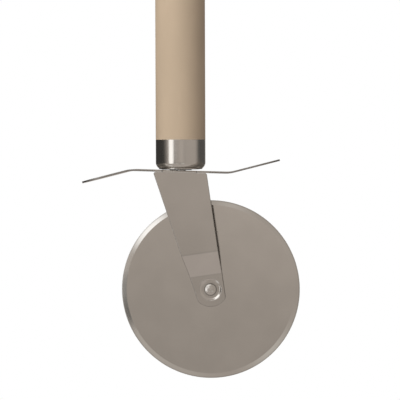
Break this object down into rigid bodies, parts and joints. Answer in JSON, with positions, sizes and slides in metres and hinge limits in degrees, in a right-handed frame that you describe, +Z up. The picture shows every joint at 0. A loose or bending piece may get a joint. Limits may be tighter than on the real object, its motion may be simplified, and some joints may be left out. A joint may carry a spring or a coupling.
{
  "type": "pizza cutter",
  "caption": "Pizza cutter with a round beige grip, a steel ferrule, a stamped bracket with a Z-bent finger guard and joggled arm, and a bevelled wheel that turns freely on a rivet.",
  "frame": {"origin": "on the grip's axis, where the grip meets the ferrule", "axes": "+Z up the grip towards its butt end, +X along the finger guard towards its raised wing, +Y along the wheel's axle, away from the arm"},
  "size_m": [0.11, 0.0252, 0.2306],
  "materials": {
    "grip_plastic": "matte, finely textured",
    "ferrule_steel": "satin",
    "sheet_steel": "bright rolled sheet",
    "blade_steel": "polished, with a ground bevel",
    "rivet_steel": "polished",
    "fastener_steel": "zinc plated",
    "brass": "turned",
    "washer_nylon": "satin"
  },
  "bodies": {
    "handle_assembly": {"grip": "grip_plastic", "ferrule": "ferrule_steel", "threaded_insert": "brass", "spacer_washer": "fastener_steel", "spring_washer": "fastener_steel", "fixing_screw": "fastener_steel", "guard_bracket": "sheet_steel", "axle_rivet": "rivet_steel", "hub_bush": "brass", "front_thrust_washer": "washer_nylon", "rear_thrust_washer": "washer_nylon"},
    "wheel": {"cutting_wheel": "blade_steel"}
  },
  "joints": [
    {"name": "wheel_spin", "type": "hinge", "parent": "handle_assembly", "child": "wheel", "pos_m": [0.015, 0, -0.07559], "axis": [0, 1, 0], "continuous": true}
  ]
}
